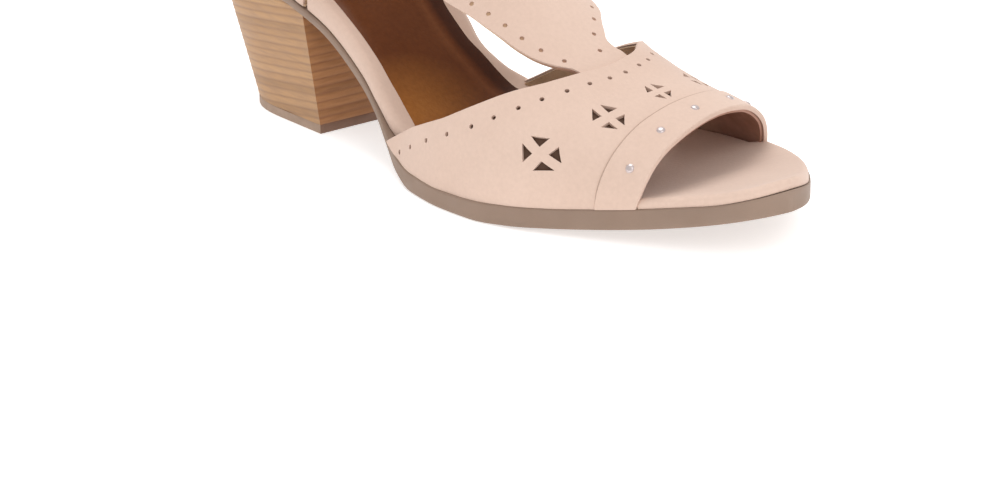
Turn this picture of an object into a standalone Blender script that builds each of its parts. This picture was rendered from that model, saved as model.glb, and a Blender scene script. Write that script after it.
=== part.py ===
"""Right-foot peep toe ankle boot: stacked heel, rubber outsole, wrapped footbed, sock and a hollow upper.

The shoe is drawn in millimetres with x from the back of the heel to the toe, y from the outer (lateral)
side to the inner (medial) side and z up from the floor. The upper is laid out on the last as a pattern:
one direction counts the sections from toe to collar, the other is the angle round the foot, and the cut
lines of the vamp, the strap and the heel counter are drawn there before the leather is wrapped.
"""
import bmesh
import bpy
import numpy as np
from mathutils import Vector

NAME = "peep_toe_ankle_boot"
MM = 0.001

LENGTH = 236.5          # back of the sole to the toe
JOINT_GAP = 0.3         # clearance left between pieces that lie on each other
SEAT_GAP = 0.45         # clearance under the upper, whose lower edge follows the curved sole
LIFT_HEIGHT = 3.0       # rubber top lift under the heel
BREAST_X = 65.5         # front face of the heel where it meets the sole
LIFT_FRONT_X = 70.5
LIFT_BACK_X = 24.5
LIFT_HALF_WIDTH = 28.6
LIFT_MIDDLE_Y = -6.4
WALL = 2.0              # upper leather with its lining
STRAP_DROP = 0.7        # the strap and the cuff lie this much under the vamp's face
RIM_STEP = 0.5          # the toe rim band stands this much over the vamp's face
MOTIF_DEPTH = 1.1       # the cut-outs go through the outer leather down to the lining
OUTER_INSET = 1.0       # the vamp stands this far behind the edge of the sole, lateral side
INNER_INSET = 2.6       # and on the medial side
STUD_RADIUS = 1.6
STUD_HEIGHT = 0.9

# One row per section of the sole, from heel to toe.
SOLE = np.array([
    # x      lateral  medial  bottom  thickness
    [0.0,     -7.0,   -7.0,   55.0,   2.6],
    [2.0,    -21.0,    6.0,   54.6,   2.6],
    [8.0,    -32.0,   16.5,   53.2,   2.6],
    [20.0,   -37.8,   22.8,   50.0,   2.6],
    [35.0,   -39.2,   24.0,   45.8,   2.6],
    [50.0,   -39.0,   23.2,   41.6,   2.6],
    [64.0,   -38.2,   20.6,   37.6,   2.7],
    [76.0,   -37.9,   13.2,   33.6,   2.9],
    [85.0,   -37.6,   10.0,   28.6,   3.1],
    [95.0,   -37.7,    9.4,   21.8,   3.3],
    [104.0,  -38.9,   12.4,   14.8,   3.4],
    [112.0,  -41.0,   18.0,    7.8,   4.0],
    [120.0,  -43.7,   24.4,    2.4,   5.0],
    [130.0,  -46.4,   32.0,    0.0,   5.9],
    [145.0,  -48.2,   41.0,    0.0,   5.6],
    [158.0,  -47.4,   45.6,    0.0,   6.0],
    [170.0,  -44.0,   47.0,    0.6,   6.2],
    [182.0,  -38.2,   46.0,    1.8,   6.1],
    [194.0,  -31.8,   42.6,    3.4,   6.2],
    [206.0,  -25.4,   36.6,    5.4,   6.2],
    [216.0,  -20.0,   29.8,    7.5,   6.05],
    [226.0,  -14.0,   20.8,   10.0,   5.65],
    [233.0,   -7.4,   13.0,   12.0,   5.95],
    [236.5,    3.0,    3.0,   13.0,   6.4],
])

# The wrapped footbed: how far its side stands behind the sole's edge, its height and its hollow.
FOOTBED = np.array([
    # x      lateral  medial  height  hollow
    [0.0,     4.3,     4.3,    4.0,    1.0],
    [58.0,    4.3,     4.3,    5.0,    2.6],
    [66.4,    4.3,     4.3,    5.5,    2.8],
    [68.2,    0.9,     0.9,    5.6,    2.8],
    [104.8,   0.9,     0.9,    5.2,    2.3],
    [106.4,   0.9,     5.6,    5.1,    2.2],
    [110.9,   0.9,     5.6,    4.8,    1.9],
    [112.5,   4.3,     5.6,    4.7,    1.8],
    [138.0,   4.3,     5.4,    3.4,    1.0],
    [150.0,   4.3,     4.5,    3.2,    0.9],
    [186.4,   4.3,     4.3,    2.8,    0.6],
    [188.0,   4.3,     0.9,    2.75,   0.55],
    [206.0,   4.3,     0.9,    2.5,    0.2],
    [207.6,   0.9,     0.9,    2.5,    0.0],
    [236.5,   0.9,     0.9,    2.3,    0.0],
])

# Sections of the last: the middle of the base, then the ridge over it. Those without a base height
# stand on the sole, the others rise along the side seam above the heel breast. The medial shoulder is
# the part by which the round between ridge and base is fuller, or flatter where it is negative.
LAST = np.array([
    # base x  base z  ridge x  ridge z  shoulder
    [216.0,   None,   216.0,    28.6,   -0.020],
    [202.0,   None,   204.0,    31.4,   -0.040],
    [187.0,   None,   191.0,    34.2,   -0.065],
    [170.0,   None,   177.0,    38.0,   -0.085],
    [154.0,   None,   164.0,    43.6,   -0.075],
    [138.0,   None,   151.0,    52.0,   -0.020],
    [120.0,   None,   138.0,    61.0,    0.050],
    [100.0,   None,   126.0,    70.5,    0.050],
    [65.6,    None,   114.5,    82.0,    0.0],
    [67.0,    57.0,   108.5,    91.5,    0.0],
    [67.5,    73.0,   104.5,   100.0,    0.0],
    [68.0,    90.0,   102.0,   108.0,    0.0],
    [68.5,   108.0,   100.5,   116.0,    0.0],
    [69.0,   126.0,   100.0,   124.5,    0.0],
], dtype=object)
ARCH_ROW = 6            # last section whose sides follow the sole
SEAM_ROW = 8            # last section on the sole, where the side seam starts
COLLAR_ROW = 13

# The back of the upper by height.
ANKLE = np.array([
    # z      back x  lateral  medial  roundness
    [40.0,   3.4,    -37.5,   18.6,   3.0],
    [50.0,   2.4,    -37.4,   19.6,   3.0],
    [62.0,   1.2,    -37.0,   20.8,   2.9],
    [76.0,   2.6,    -36.6,   22.2,   2.7],
    [92.0,   7.0,    -36.2,   24.0,   2.5],
    [110.0,  10.5,   -36.6,   25.5,   2.35],
    [126.0,  11.5,   -37.5,   26.5,   2.25],
])
ROUNDNESS = 2.25        # exponent of the section curves: 2 is an ellipse, more is squarer

# Cut lines of the pattern. Angles are in degrees from the ridge, negative on the lateral side.
VAMP = np.array([
    # angle   topline  seam   rim
    [-90.0,   6.36,    1.53,  0.82],
    [-81.0,   5.93,    1.55,  0.78],
    [-67.0,   5.02,    1.57,  0.76],
    [-54.0,   4.49,    1.61,  0.78],
    [-40.0,   4.08,    1.67,  0.82],
    [-28.0,   3.77,    1.74,  0.87],
    [-17.0,   3.61,    1.80,  0.95],
    [-6.0,    3.52,    1.88,  1.06],
    [5.0,     3.68,    1.97,  1.21],
    [11.0,    3.83,    2.02,  1.27],
    [21.0,    4.18,    2.12,  1.38],
    [30.0,    4.39,    2.24,  1.52],
    [45.0,    4.79,    2.48,  1.74],
    [60.0,    5.39,    2.66,  1.92],
    [75.0,    6.16,    2.80,  2.08],
    [90.0,    6.70,    2.90,  2.20],
])
STRAP = np.array([
    # section  lateral  medial
    [2.60,     -13.0,    6.0],
    [3.60,     -15.2,    6.0],
    [3.88,     -19.0,    5.2],
    [4.12,     -21.0,    5.4],
    [4.54,     -23.0,   10.2],
    [4.80,     -24.3,   15.0],
    [5.16,     -26.0,   24.0],
    [5.50,     -28.4,   30.0],
    [5.80,     -31.0,   33.5],
    [6.50,     -39.0,   39.5],
    [7.40,     -48.0,   47.0],
    [8.20,     -58.0,   57.0],
    [8.80,     -68.0,   67.0],
    [9.20,     -77.0,   76.0],
    [9.50,     -87.0,   86.0],
    [9.60,     -97.0,   97.0],
    [13.20,    -97.0,   97.0],
])
# Cross-shaped cut-outs: four triangles that point at the middle of each.
MOTIFS = np.array([
    # section  angle   length  width  turn   slant
    [2.75,     -62.1,  11.4,    9.6,   -9.0, -22.0],
    [2.31,     -30.8,   9.3,    8.4,  -13.0, -29.0],
    [2.38,      -3.2,   7.2,    6.8,  -30.0, -45.0],
    [2.70,      22.0,   7.6,    7.2,  -30.0, -42.0],
    [3.10,      44.0,   9.0,    8.0,  -20.0, -30.0],
    [3.50,      68.0,  11.0,    9.0,  -14.0, -22.0],
])
STUD_ANGLES = (-61.5, -28.0, -2.5, 22.0, 50.0, 72.0)

COLOURS = {
    "outsole_rubber": ((0.33, 0.24, 0.19), 0.75),
    "stacked_leather": ((0.50, 0.28, 0.14), 0.55),
    "lift_rubber": ((0.16, 0.12, 0.09), 0.80),
    "nude_leather": ((0.78, 0.58, 0.47), 0.70),
    "brown_leather": ((0.13, 0.05, 0.02), 0.40),
    "stud_metal": ((0.75, 0.75, 0.77), 0.25),
}


def smooth(t, xs, ys):
    """Monotone cubic through the rows of a table."""
    xs = np.asarray(xs, float)
    ys = np.asarray(ys, float)
    step = np.diff(xs)
    rise = np.diff(ys) / step
    slope = np.zeros_like(ys)
    slope[0] = rise[0]
    slope[-1] = rise[-1]
    for i in range(1, len(xs) - 1):
        if rise[i - 1] * rise[i] > 0:
            before = 2 * step[i] + step[i - 1]
            after = step[i] + 2 * step[i - 1]
            slope[i] = (before + after) / (before / rise[i - 1] + after / rise[i])
    t = np.clip(np.asarray(t, float), xs[0], xs[-1])
    k = np.clip(np.searchsorted(xs, t) - 1, 0, len(xs) - 2)
    u = (t - xs[k]) / step[k]
    return ((2 * u**3 - 3 * u**2 + 1) * ys[k] + (u**3 - 2 * u**2 + u) * step[k] * slope[k]
            + (3 * u**2 - 2 * u**3) * ys[k + 1] + (u**3 - u**2) * step[k] * slope[k + 1])


def sweep(x):
    """Angle that runs evenly round the sole's two ends, so that they come out round."""
    return np.arccos(np.clip(1 - 2 * np.asarray(x, float) / LENGTH, -1, 1))


def sole(x, column):
    return smooth(sweep(x), sweep(SOLE[:, 0]), SOLE[:, column])


def lateral(x):
    return sole(x, 1)


def medial(x):
    return sole(x, 2)


def sole_bottom(x):
    return smooth(x, SOLE[:, 0], SOLE[:, 3])


def sole_top(x):
    return sole_bottom(x) + smooth(x, SOLE[:, 0], SOLE[:, 4])


def footbed(x, column):
    return smooth(x, FOOTBED[:, 0], FOOTBED[:, column])


def ankle(z, column):
    return smooth(z, ANKLE[:, 0], ANKLE[:, column])


def along_last(s, column):
    rows = LAST[:, column].astype(float)
    return smooth(s, np.arange(len(rows)), rows)


def seam_height(s):
    """Height of the base: on the sole up to the side seam, then along that seam."""
    heights = LAST[SEAM_ROW:, 1].copy()
    heights[0] = float(sole_top(LAST[SEAM_ROW, 0])) + SEAT_GAP
    risen = smooth(s, np.arange(SEAM_ROW, len(LAST)), heights.astype(float))
    return np.where(s <= SEAM_ROW, sole_top(along_last(s, 0)) + SEAT_GAP, risen)


def side_lines(s, base_x, base_z):
    """Outer and inner side of the base: along the sole under the vamp, then straight across the arch."""
    leave = LAST[ARCH_ROW, 0]
    share = np.clip((s - ARCH_ROW) / (SEAM_ROW - ARCH_ROW), 0, 1)
    sides = []
    for edge, inset, column in ((lateral, OUTER_INSET, 2), (medial, -INNER_INSET, 3)):
        over_arch = (edge(leave) + inset) * (1 - share) + ankle(ANKLE[0, 0], column) * share
        sides.append(np.where(s <= ARCH_ROW, edge(base_x) + inset,
                              np.where(s <= SEAM_ROW, over_arch, ankle(base_z, column))))
    return sides


def waist(s, base_x, inner):
    """How far the foot of the medial side tucks in by the arch, to stay on the narrow sole."""
    fade = np.clip(s - ARCH_ROW - 1, 0, 1)
    outside = np.maximum(0.0, inner - medial(base_x) + INNER_INSET)
    return np.where((s > ARCH_ROW) & (s < SEAM_ROW), outside * (1 - fade * fade * (3 - 2 * fade)), 0.0)


def on_last(s, angle):
    """Outer face of the upper at section s and at an angle from the ridge; past 90 it turns to the back."""
    s, angle = np.broadcast_arrays(np.asarray(s, float), np.asarray(angle, float))
    base_x, ridge_x, ridge_z = (along_last(s, k) for k in (0, 2, 3))
    base_z = seam_height(s)
    outer, inner = side_lines(s, base_x, base_z)
    turn = np.radians(angle)
    front = np.cos(turn) >= 0
    power = 2.0 / np.where(front, ROUNDNESS, ankle(base_z, 4))
    across = np.sign(np.sin(turn)) * np.abs(np.sin(turn)) ** power
    up = np.abs(np.cos(turn)) ** power
    inside = front & (np.sin(turn) > 0)
    shoulder = 1 + np.where(inside, along_last(s, 4) * np.sin(2 * turn) ** 2, 0.0)
    x = base_x + np.where(front, ridge_x - base_x, ankle(base_z, 1) - base_x) * up * shoulder
    y = (outer + inner) / 2 + (inner - outer) / 2 * across * shoulder
    y = y - np.where(inside, waist(s, base_x, inner) * np.sin(turn) ** 6, 0.0)
    z = base_z + np.where(front, ridge_z - base_z, 0.0) * up * shoulder
    return np.stack([x, y, z], axis=-1)


def last_normal(s, angle):
    ds = 0.02
    da = 0.5
    fixed = s < SEAM_ROW
    low = np.where(fixed, np.maximum(angle - da, -90), angle - da)
    high = np.where(fixed, np.minimum(angle + da, 90), angle + da)
    by_angle = on_last(s, high) - on_last(s, low)
    by_row = on_last(s + ds, angle) - on_last(s - ds, angle)
    normal = np.cross(by_angle, by_row)
    return normal / np.linalg.norm(normal, axis=-1, keepdims=True)


def vamp_line(angle, column):
    return smooth(angle, VAMP[:, 0], VAMP[:, column])


def strap_line(s, column):
    return smooth(s, STRAP[:, 0], STRAP[:, column])


for old in list(bpy.data.objects):
    bpy.data.objects.remove(old, do_unlink=True)
parts = bpy.data.collections.new(NAME)
bpy.context.scene.collection.children.link(parts)

materials = {}
for slot, (colour, rough) in COLOURS.items():
    material = bpy.data.materials.new(slot)
    material.use_nodes = True
    shader = material.node_tree.nodes["Principled BSDF"]
    shader.inputs["Base Color"].default_value = (*colour, 1.0)
    shader.inputs["Roughness"].default_value = rough
    shader.inputs["Metallic"].default_value = 1.0 if slot == "stud_metal" else 0.0
    materials[slot] = material


def keep(name, work, slot):
    """Close the mesh in hand as a named object."""
    bmesh.ops.recalc_face_normals(work, faces=work.faces)
    mesh = bpy.data.meshes.new(name)
    work.to_mesh(mesh)
    work.free()
    mesh.materials.append(materials[slot])
    mesh.shade_smooth()
    mesh.set_sharp_from_angle(angle=np.radians(35))
    obj = bpy.data.objects.new(name, mesh)
    parts.objects.link(obj)
    return obj


def add(name, points, faces, slot):
    """A named solid from points in millimetres."""
    work = bmesh.new()
    verts = [work.verts.new([c * MM for c in p]) for p in points]
    for face in faces:
        work.faces.new([verts[k] for k in face])
    return keep(name, work, slot)


def loft(name, sections, slot):
    """Skin over closed sections with the same number of points, flat at both ends."""
    count = len(sections[0])
    points = [p for section in sections for p in section]
    faces = []
    for i in range(len(sections) - 1):
        for j in range(count):
            a = i * count + j
            b = i * count + (j + 1) % count
            faces.append((a, b, b + count, a + count))
    faces.append(tuple(range(count))[::-1])
    faces.append(tuple(range((len(sections) - 1) * count, len(sections) * count)))
    return add(name, points, faces, slot)


def boolean(target, tool, operation):
    """Apply one exact Boolean and drop its tool."""
    modifier = target.modifiers.new("cut", "BOOLEAN")
    modifier.operation = operation
    modifier.solver = "EXACT"
    modifier.object = tool
    graph = bpy.context.evaluated_depsgraph_get()
    graph.update()
    result = bpy.data.meshes.new_from_object(target.evaluated_get(graph))
    target.modifiers.clear()
    target.data = result
    bpy.data.objects.remove(tool, do_unlink=True)


# Outsole: rubber, with a small bevel along the tread and a smaller one under the upper.
TREAD_BEVEL = 0.9
TOP_BEVEL = 0.4
stations = LENGTH * (1 - np.cos(np.linspace(0.045, np.pi - 0.045, 66))) / 2
stations = np.sort(np.concatenate([stations, [130.0, 158.0]]))
rings = []
for x in stations:
    outer, inner, low, high = lateral(x), medial(x), sole_bottom(x), sole_top(x)
    narrow = min(1.0, (inner - outer) / 6)
    tread, edge = TREAD_BEVEL * narrow, TOP_BEVEL * narrow
    rings.append([
        (x, outer + tread, low), (x, outer, low + tread), (x, outer, high - edge), (x, outer + edge, high),
        (x, inner - edge, high), (x, inner, high - edge), (x, inner, low + tread), (x, inner - tread, low)])
outsole = loft("outsole", rings, "outsole_rubber")

# Footbed: wrapped board with a rounded margin and a hollow top.
ROUNDING = 2.2
ACROSS = np.linspace(-1, 1, 7)


def seat_row(angle):
    """Section at which the back of the upper meets the sole."""
    low, high = SEAM_ROW, SEAM_ROW + 3.0
    for _ in range(40):
        s = (low + high) / 2
        point = on_last(s, angle)
        if point[2] > sole_top(point[0]) + SEAT_GAP:
            high = s
        else:
            low = s
    return s


seat_angles = np.linspace(90, 270, 61)
seat_rows = np.array([seat_row(a) for a in seat_angles])
INSIDE = WALL + JOINT_GAP + 0.2
seat_inside = on_last(seat_rows, seat_angles) - last_normal(seat_rows, seat_angles) * INSIDE
seat_medial = seat_inside[:31][::-1]
seat_lateral = seat_inside[30:]


def vamp_inside(angle):
    """Where the footbed has to stay inside the vamp, from its topline forward to the rim."""
    rows = np.linspace(vamp_line(angle, 1) + 0.1, vamp_line(angle, 3) - 0.1, 50)
    angles = np.full(50, angle)
    return on_last(rows, angles) - last_normal(rows, angles) * INSIDE


vamp_lateral = vamp_inside(-90.0)
vamp_medial = vamp_inside(90.0)


def footbed_edges(x):
    """Lateral and medial side of the footbed: inside the counter, then out to the sole's edge."""
    outer, inner = lateral(x) + footbed(x, 1), medial(x) - footbed(x, 2)
    if x < 66.2:
        outer = max(outer, np.interp(x, seat_lateral[:, 0], seat_lateral[:, 1]))
        inner = min(inner, np.interp(x, seat_medial[:, 0], seat_medial[:, 1]))
    if vamp_lateral[0, 0] < x < vamp_lateral[-1, 0]:
        outer = max(outer, np.interp(x, vamp_lateral[:, 0], vamp_lateral[:, 1]))
    if vamp_medial[0, 0] < x < vamp_medial[-1, 0]:
        inner = min(inner, np.interp(x, vamp_medial[:, 0], vamp_medial[:, 1]))
    return outer, inner


def footbed_top(x, t):
    """Top of the footbed at x and at t from -1 on the lateral edge to 1 on the medial edge."""
    return sole_top(x) + JOINT_GAP + footbed(x, 3) - footbed(x, 4) * (1 - t * t)


back, front = seat_inside[:, 0].min() + 0.1, LENGTH - 1.0
stations = back + (front - back) * (1 - np.cos(np.linspace(0.05, np.pi - 0.05, 50))) / 2
stations = np.sort(np.concatenate([stations, FOOTBED[2:8, 0], FOOTBED[10:14, 0]]))
rings = []
for x in stations:
    outer, inner = footbed_edges(x)
    base = sole_top(x) + JOINT_GAP
    middle, half = (outer + inner) / 2, (inner - outer) / 2
    rounding = min(ROUNDING, 0.35 * half, 0.7 * footbed(x, 3))
    ring = [(x, outer, base)]
    crown = base + footbed(x, 3)
    for turn in (0.0, 30.0, 60.0):
        c, s = np.cos(np.radians(turn)), np.sin(np.radians(turn))
        ring.append((x, outer + rounding * (1 - c), crown - rounding * (1 - s)))
    for t in ACROSS:
        ring.append((x, middle + (half - rounding) * t, footbed_top(x, t)))
    for turn in (60.0, 30.0, 0.0):
        c, s = np.cos(np.radians(turn)), np.sin(np.radians(turn))
        ring.append((x, inner - rounding * (1 - c), crown - rounding * (1 - s)))
    ring.append((x, inner, base))
    rings.append(ring)
loft("footbed", rings, "nude_leather")

# Sock: thin brown leather that lies in the hollow and ends under the vamp.
SOCK_THICKNESS = 0.8
SOCK_GAP = 0.4
SOCK_FRONT = 150.0
SOCK_INSET = np.array([
    # x      from the sole's edge
    [0.0,    9.7],
    [58.0,   9.7],
    [82.0,   6.6],
    [98.0,   6.6],
    [120.0,  9.7],
    [150.0,  9.7],
])
stations = np.linspace(9.0, SOCK_FRONT, 40)
rings = []
for x in stations:
    outer, inner = footbed_edges(x)
    middle, flat_half = (outer + inner) / 2, (inner - outer) / 2 - ROUNDING
    inset = smooth(x, SOCK_INSET[:, 0], SOCK_INSET[:, 1])
    ends = min(1.0, np.sqrt(max(0.02, (x - 8.5) / 16)))
    centre = (lateral(x) + medial(x)) / 2
    reach = ((medial(x) - lateral(x)) / 2 - inset) * ends
    ys = [centre + reach * t for t in ACROSS]
    under = [(x, y, footbed_top(x, (y - middle) / flat_half) + SOCK_GAP) for y in ys]
    over = [(px, py, pz + SOCK_THICKNESS) for px, py, pz in under[::-1]]
    rings.append(under + over)
loft("insole_sock", rings, "brown_leather")

# Heel: stacked block between the top lift and the sole, D-shaped, smaller towards the floor.
HEEL_SAMPLES = 18
HEEL_LEVELS = 7


def heel_plan(f, level):
    """Lateral and medial points at f from the back to the breast, level 0 on the lift and 1 on the sole."""
    run = 1 - np.cos(f * np.pi / 2) if f < 1 else 1.0
    top_x = 1.6 + (BREAST_X - 1.6) * run
    low_x = LIFT_BACK_X + (LIFT_FRONT_X - LIFT_BACK_X) * run
    straight = 0.62
    bow = max(0.0, (straight - run) / straight)
    width = LIFT_HALF_WIDTH * max(0.01, 1 - bow**3.1) ** (1 / 3.1)
    x = low_x + (top_x - low_x) * level
    outer = (LIFT_MIDDLE_Y - width) * (1 - level) + (lateral(top_x) + 0.8) * level
    inner = (LIFT_MIDDLE_Y + width) * (1 - level) + (medial(top_x) - 0.8) * level
    return x, outer, inner, top_x


def heel_block(name, levels, heights, slot):
    points = []
    samples = np.linspace(0.05, 1.0, HEEL_SAMPLES)
    for level, height in zip(levels, heights):
        for side in (1, 2):
            for f in samples:
                plan = heel_plan(f, level)
                points.append((plan[0], plan[side], height(plan[3])))
    n = HEEL_SAMPLES
    ring = list(range(n)) + list(range(2 * n - 1, n - 1, -1))
    faces = []
    for k in range(len(levels) - 1):
        for j in range(2 * n):
            a = k * 2 * n + ring[j]
            b = k * 2 * n + ring[(j + 1) % (2 * n)]
            faces.append((a, b, b + 2 * n, a + 2 * n))
    for k in (0, len(levels) - 1):
        for j in range(n - 1):
            a = k * 2 * n + j
            faces.append((a, a + 1, a + 1 + n, a + n))
    return add(name, points, faces, slot)


def heel_height(level):
    def height(top_x):
        low = LIFT_HEIGHT + JOINT_GAP
        return low + (sole_bottom(top_x) - JOINT_GAP - low) * level
    return height


heel_levels = np.linspace(0, 1, HEEL_LEVELS)
heel_block("heel_stack", heel_levels, [heel_height(level) for level in heel_levels], "stacked_leather")
heel_block("heel_top_lift", [0.0, 0.0], [lambda x: 0.0, lambda x: LIFT_HEIGHT], "lift_rubber")

# Upper. The pattern is cut flat: section and angle are scaled to lengths near those on the foot.
ROW_PITCH = 15.0
ANGLE_PITCH = 0.7


def flat(s, angle, depth):
    return s * ROW_PITCH * MM, angle * ANGLE_PITCH * MM, depth * MM


def thicken(work, height):
    """Raise a flat pattern to its thickness."""
    raised = bmesh.ops.extrude_face_region(work, geom=work.faces[:])["geom"]
    top = [v for v in raised if isinstance(v, bmesh.types.BMVert)]
    bmesh.ops.translate(work, verts=top, vec=(0.0, 0.0, height * MM))


def sheet(name, rows, angles, low, high):
    """Flat sheet of leather over a grid of sections and angles."""
    work = bmesh.new()
    grid = [[work.verts.new(flat(s, a, low)) for a in angles] for s in rows]
    for near, far in zip(grid, grid[1:]):
        for j in range(len(angles) - 1):
            work.faces.new((near[j], near[j + 1], far[j + 1], far[j]))
    thicken(work, high - low)
    return keep(name, work, "nude_leather")


def knife(outline, low=-6.0, high=6.0):
    """Prism over a closed outline of the pattern."""
    work = bmesh.new()
    work.faces.new([work.verts.new(flat(s, a, low)) for s, a in outline])
    thicken(work, high - low)
    return keep("knife", work, "nude_leather")


def cut(sheet_obj, outline, low=-6.0):
    boolean(sheet_obj, knife(outline, low), "DIFFERENCE")


def triangulate(mesh):
    work = bmesh.new()
    work.from_mesh(mesh)
    bmesh.ops.triangulate(work, faces=work.faces, quad_method="BEAUTY", ngon_method="BEAUTY")
    work.to_mesh(mesh)
    work.free()


def wrap(obj):
    """Lay a flat pattern on the last."""
    mesh = obj.data
    triangulate(mesh)
    co = np.empty(len(mesh.vertices) * 3)
    mesh.vertices.foreach_get("co", co)
    co = co.reshape(-1, 3) / MM
    s, angle, depth = co[:, 0] / ROW_PITCH, co[:, 1] / ANGLE_PITCH, co[:, 2]
    placed = on_last(s, angle) + last_normal(s, angle) * depth[:, None]
    mesh.vertices.foreach_set("co", (placed * MM).ravel())
    mesh.flip_normals()
    mesh.update()


EVEN = np.linspace(-90, 90, 25)
FINE = np.linspace(-92, 92, 47)

# Vamp: from the peep rim back to the topline.
upper = sheet("upper", np.arange(0.4, 7.01, 0.3), EVEN, -WALL, 0.0)
cut(upper, [(-1.0, -93.0)] + [(vamp_line(a, 3), a) for a in FINE] + [(-1.0, 93.0)])
cut(upper, [(8.0, 93.0)] + [(vamp_line(a, 1), a) for a in FINE[::-1]] + [(8.0, -93.0)])

# Strap and ankle cuff: one panel that starts under the vamp and widens to the side seams.
panel = sheet("panel", np.concatenate([np.arange(3.0, 10.0, 0.35), np.linspace(10.0, COLLAR_ROW, 8)]),
              np.linspace(-97, 97, 27), -WALL - 0.15, -STRAP_DROP)
tuck = [a for a in FINE if -40 <= a <= 40]
cut(panel, [(1.0, -60.0)] + [(vamp_line(a, 1) - 0.3, a) for a in tuck] + [(1.0, 60.0)])
edge = np.concatenate([np.linspace(2.6, 9.3, 38), np.linspace(9.34, 9.6, 6)])
for column, sign in ((1, -1), (2, 1)):
    cut(panel, [(2.6, sign * 120.0)] + [(s, strap_line(s, column)) for s in edge] + [(9.6, sign * 120.0)])
boolean(upper, panel, "UNION")

# Toe rim: a band that stands over the vamp along the peep opening.
rim = sheet("rim", np.arange(0.4, 3.11, 0.3), np.linspace(-89.6, 89.6, 25), -WALL + 0.15, RIM_STEP)
cut(rim, [(-1.0, -93.0)] + [(vamp_line(a, 3) - 0.03, a) for a in FINE] + [(-1.0, 93.0)])
cut(rim, [(4.0, 93.0)] + [(vamp_line(a, 2), a) for a in FINE[::-1]] + [(4.0, -93.0)])
boolean(upper, rim, "UNION")

# Cut-outs: four triangles a cross, each with its point near the middle.
for row, angle, length, width, turn, slant in MOTIFS:
    here = on_last(row, angle)
    ahead = (on_last(row + 0.1, angle) - here) / 0.1
    aside = on_last(row, angle + 1.0) - here
    row_length = np.linalg.norm(ahead)
    skew = np.dot(aside, ahead) / row_length
    angle_length = np.sqrt(np.dot(aside, aside) - skew**2)
    turn, slant = np.radians((turn, slant))
    for c, d in ((1, 0), (0, 1), (-1, 0), (0, -1)):
        triangle = []
        for along, beside in ((0.21, 0.0), (0.5, 0.25), (0.5, -0.25)):
            u = length * (along * c - beside * d)
            v = width * (along * d + beside * c)
            r = u * np.cos(turn) - v * np.sin(slant)
            a = u * np.sin(turn) + v * np.cos(slant)
            triangle.append((row + (r - a / angle_length * skew) / row_length, angle + a / angle_length))
        cut(upper, triangle, -MOTIF_DEPTH)
wrap(upper)

# Heel counter with the back of the cuff: from seam to seam round the heel, down to the sole.
COUNTER_ANGLES = np.linspace(90, 270, 24)

counter = sheet("counter", np.linspace(SEAM_ROW, COLLAR_ROW, 17), COUNTER_ANGLES, -WALL + 0.1, 0.1)
seat = np.linspace(80, 280, 41)
cut(counter, [(6.0, 80.0)] + [(seat_row(a), a) for a in seat] + [(6.0, 280.0)])
wrap(counter)
boolean(upper, counter, "UNION")
triangulate(upper.data)

# Studs: small turned domes along the toe rim.
STUD_PROFILE = ((0.0, 1.0), (0.72, 0.75), (1.0, 0.25), (1.0, 0.0), (0.0, 0.0))

for number, angle in enumerate(STUD_ANGLES, start=1):
    row = float(0.47 * vamp_line(angle, 2) + 0.53 * vamp_line(angle, 3))
    normal = last_normal(np.array(row), np.array(angle))
    mesh = bpy.data.meshes.new("stud_%d" % number)
    profile = [(STUD_RADIUS * out * MM, 0.0, STUD_HEIGHT * up * MM) for out, up in STUD_PROFILE]
    mesh.from_pydata(profile, [(k, k + 1) for k in range(len(profile) - 1)], [])
    mesh.materials.append(materials["stud_metal"])
    stud = bpy.data.objects.new("stud_%d" % number, mesh)
    parts.objects.link(stud)
    stud.location = (on_last(row, angle) + normal * (RIM_STEP + JOINT_GAP)) * MM
    stud.rotation_euler = Vector(normal).to_track_quat("Z", "Y").to_euler()
    turned = stud.modifiers.new("turned", "SCREW")
    turned.steps = 12
    turned.render_steps = 12
    turned.use_merge_vertices = True
    turned.merge_threshold = 0.00001

# The shoe's frame: x along the shoe, the middle of the sole's outline on the floor at the origin.
outline = np.array([v.co for v in outsole.data.vertices])
frame = bpy.data.objects.new("shoe_frame", None)
bpy.context.scene.collection.objects.link(frame)
frame.location = -(outline.min(axis=0) + outline.max(axis=0)) / 2
frame.location.z = 0.0
for obj in parts.objects:
    obj.parent = frame
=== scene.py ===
"""Right-foot peep toe ankle boot in pale nubuck: brown sock and lining, wrapped footbed, stacked heel.

Sizes are millimetres on the shoe itself: x from the back of the sole to the toe, y from the outer to the
inner side of the foot, z up from the floor. The pieces follow in the order in which they go together.
"""

import bmesh
import bpy
import numpy as np
from mathutils import Matrix, Vector


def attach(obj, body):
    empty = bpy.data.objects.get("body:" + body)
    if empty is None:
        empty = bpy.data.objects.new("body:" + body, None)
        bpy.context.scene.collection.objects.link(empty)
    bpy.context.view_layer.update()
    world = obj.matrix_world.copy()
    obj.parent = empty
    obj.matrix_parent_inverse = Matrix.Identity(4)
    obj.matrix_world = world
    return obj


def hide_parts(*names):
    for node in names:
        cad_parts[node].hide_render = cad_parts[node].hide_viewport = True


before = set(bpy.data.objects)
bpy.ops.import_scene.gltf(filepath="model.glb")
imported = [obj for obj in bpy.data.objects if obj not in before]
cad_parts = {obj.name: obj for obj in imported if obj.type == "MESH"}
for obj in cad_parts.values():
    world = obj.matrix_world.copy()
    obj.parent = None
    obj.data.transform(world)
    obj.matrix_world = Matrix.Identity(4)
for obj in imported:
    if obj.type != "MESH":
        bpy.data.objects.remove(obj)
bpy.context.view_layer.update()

# Outsole. One sheet of taupe rubber, cut to the outline of the foot, bent over the arch and up at the toe.
# The tread edge is rounded off, the upper edge only broken, and fine ribs cross the tread.
MM = 0.001
LENGTH = 236.5
TREAD_ROUND = 1.3
FEATHER_ROUND = 0.6
FULL_ROUND_WIDTH = 8.0
RIB_PITCH = 3.2
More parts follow.
